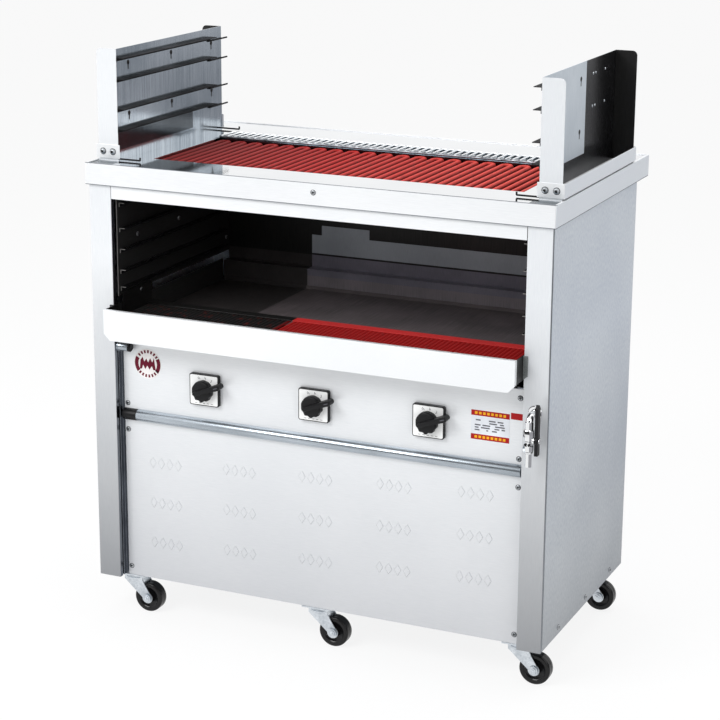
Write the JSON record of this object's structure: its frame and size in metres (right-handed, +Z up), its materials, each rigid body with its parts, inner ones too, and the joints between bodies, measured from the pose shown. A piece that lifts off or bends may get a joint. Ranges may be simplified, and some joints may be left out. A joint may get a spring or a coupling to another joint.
{
  "type": "electric broiler",
  "caption": "Tall stainless electric broiler on casters with an open heater deck, a grill cavity, a pull-out drip tray, rotary switches and rack uprights.",
  "frame": {"origin": "centre of the bounding box in plan, on the floor under the casters", "axes": "+X to the right seen from the front, -Y to the front, +Z up"},
  "size_m": [1.0134, 0.6384, 1.213],
  "materials": {
    "cabinet_steel": "bright satin stainless",
    "pan_steel": "bright polished stainless",
    "cavity_steel": "heat-darkened stainless",
    "zinc": "zinc plated",
    "chrome": "polished",
    "wheel_plastic": "glossy black",
    "black_plastic": "moulded black",
    "dial_plate": "printed white plate",
    "heater_upper": "glowing metal sheath",
    "heater_lower": "dull red metal sheath",
    "rating_sticker": "blank foil sticker",
    "round_sticker": "blank round sticker",
    "red_sticker": "blank red sticker"
  },
  "bodies": {
    "cabinet": {"back_panel": "cabinet_steel", "base_tray": "cabinet_steel", "cable_gland": "black_plastic", "caster_plates": "zinc", "cavity_back": "cavity_steel", "cavity_ceiling": "cavity_steel", "cavity_walls": "cavity_steel", "control_panel": "cabinet_steel", "corner_post_left": "cabinet_steel", "corner_post_right": "cabinet_steel", "deck": "pan_steel", "drain_cock": "chrome", "drain_pipe": "zinc", "flag_label": "red_sticker", "foot_bolts": "zinc", "foot_rails": "pan_steel", "header_strip": "cabinet_steel", "lower_heater_frame": "cavity_steel", "lower_heater_rods": "heater_lower", "lower_panel": "cabinet_steel", "pan_frame": "pan_steel", "panel_screws": "zinc", "rack_ledges": "cavity_steel", "rack_rails": "cavity_steel", "rating_label": "rating_sticker", "round_label": "round_sticker", "side_panel_left": "cabinet_steel", "side_panel_right": "cabinet_steel", "switch_bezels": "black_plastic", "switch_bodies": "black_plastic", "switch_dials": "dial_plate", "terminal_box": "cabinet_steel", "tray_runners": "pan_steel", "tray_stop": "chrome", "tray_stop_cap": "black_plastic", "trim_end_cap": "black_plastic", "trim_rail": "chrome", "upper_heater_bars": "cavity_steel", "upper_heater_rods": "heater_upper", "upright_left": "pan_steel", "upright_right": "pan_steel", "water_pan": "pan_steel"},
    "knob_left": {"knob_left": "black_plastic"},
    "knob_middle": {"knob_middle": "black_plastic"},
    "knob_right": {"knob_right": "black_plastic"},
    "drip_tray": {"drip_tray": "pan_steel"},
    "cock_lever": {"cock_lever": "black_plastic"},
    "wire_net": {"wire_net": "chrome"},
    "fork_front_left": {"caster_fork_front_left": "zinc"},
    "wheel_front_left": {"caster_wheel_front_left": "wheel_plastic"},
    "fork_front_middle": {"caster_fork_front_middle": "zinc"},
    "wheel_front_middle": {"caster_wheel_front_middle": "wheel_plastic"},
    "fork_front_right": {"caster_fork_front_right": "zinc"},
    "wheel_front_right": {"caster_wheel_front_right": "wheel_plastic"},
    "fork_rear_left": {"caster_fork_rear_left": "zinc"},
    "wheel_rear_left": {"caster_wheel_rear_left": "wheel_plastic"},
    "fork_rear_middle": {"caster_fork_rear_middle": "zinc"},
    "wheel_rear_middle": {"caster_wheel_rear_middle": "wheel_plastic"},
    "fork_rear_right": {"caster_fork_rear_right": "zinc"},
    "wheel_rear_right": {"caster_wheel_rear_right": "wheel_plastic"}
  },
  "joints": [
    {"name": "knob_left_turn", "type": "hinge", "parent": "cabinet", "child": "knob_left", "pos_m": [-0.249, -0.26425, 0.5275], "axis": [0, -1, 0], "range_deg": [0, 90]},
    {"name": "knob_middle_turn", "type": "hinge", "parent": "cabinet", "child": "knob_middle", "pos_m": [0, -0.26425, 0.5275], "axis": [0, -1, 0], "range_deg": [0, 90]},
    {"name": "knob_right_turn", "type": "hinge", "parent": "cabinet", "child": "knob_right", "pos_m": [0.249, -0.26425, 0.5275], "axis": [0, -1, 0], "range_deg": [0, 90]},
    {"name": "tray_slide", "type": "slide", "parent": "cabinet", "child": "drip_tray", "axis": [0, -1, 0], "range_m": [0, 0.4]},
    {"name": "cock_turn", "type": "hinge", "parent": "cabinet", "child": "cock_lever", "pos_m": [0.4913, -0.30625, 0.535], "axis": [1, 0, 0], "range_deg": [0, 90]},
    {"name": "net_lift", "type": "slide", "parent": "cabinet", "child": "wire_net", "axis": [0, 0, 1], "range_m": [0, 0.15]},
    {"name": "swivel_front_left", "type": "hinge", "parent": "cabinet", "child": "fork_front_left", "pos_m": [-0.441, -0.21925, 0.07], "axis": [0, 0, 1], "continuous": true},
    {"name": "roll_front_left", "type": "hinge", "parent": "fork_front_left", "child": "wheel_front_left", "pos_m": [-0.408, -0.21925, 0.0325], "axis": [0, 1, 0], "continuous": true},
    {"name": "swivel_front_middle", "type": "hinge", "parent": "cabinet", "child": "fork_front_middle", "pos_m": [0, -0.21925, 0.07], "axis": [0, 0, 1], "continuous": true},
    {"name": "roll_front_middle", "type": "hinge", "parent": "fork_front_middle", "child": "wheel_front_middle", "pos_m": [0.033, -0.21925, 0.0325], "axis": [0, 1, 0], "continuous": true},
    {"name": "swivel_front_right", "type": "hinge", "parent": "cabinet", "child": "fork_front_right", "pos_m": [0.441, -0.21925, 0.07], "axis": [0, 0, 1], "continuous": true},
    {"name": "roll_front_right", "type": "hinge", "parent": "fork_front_right", "child": "wheel_front_right", "pos_m": [0.474, -0.21925, 0.0325], "axis": [0, 1, 0], "continuous": true},
    {"name": "swivel_rear_left", "type": "hinge", "parent": "cabinet", "child": "fork_rear_left", "pos_m": [-0.441, 0.19975, 0.07], "axis": [0, 0, 1], "continuous": true},
    {"name": "roll_rear_left", "type": "hinge", "parent": "fork_rear_left", "child": "wheel_rear_left", "pos_m": [-0.408, 0.19975, 0.0325], "axis": [0, 1, 0], "continuous": true},
    {"name": "swivel_rear_middle", "type": "hinge", "parent": "cabinet", "child": "fork_rear_middle", "pos_m": [0, 0.19975, 0.07], "axis": [0, 0, 1], "continuous": true},
    {"name": "roll_rear_middle", "type": "hinge", "parent": "fork_rear_middle", "child": "wheel_rear_middle", "pos_m": [0.033, 0.19975, 0.0325], "axis": [0, 1, 0], "continuous": true},
    {"name": "swivel_rear_right", "type": "hinge", "parent": "cabinet", "child": "fork_rear_right", "pos_m": [0.441, 0.19975, 0.07], "axis": [0, 0, 1], "continuous": true},
    {"name": "roll_rear_right", "type": "hinge", "parent": "fork_rear_right", "child": "wheel_rear_right", "pos_m": [0.474, 0.19975, 0.0325], "axis": [0, 1, 0], "continuous": true}
  ]
}
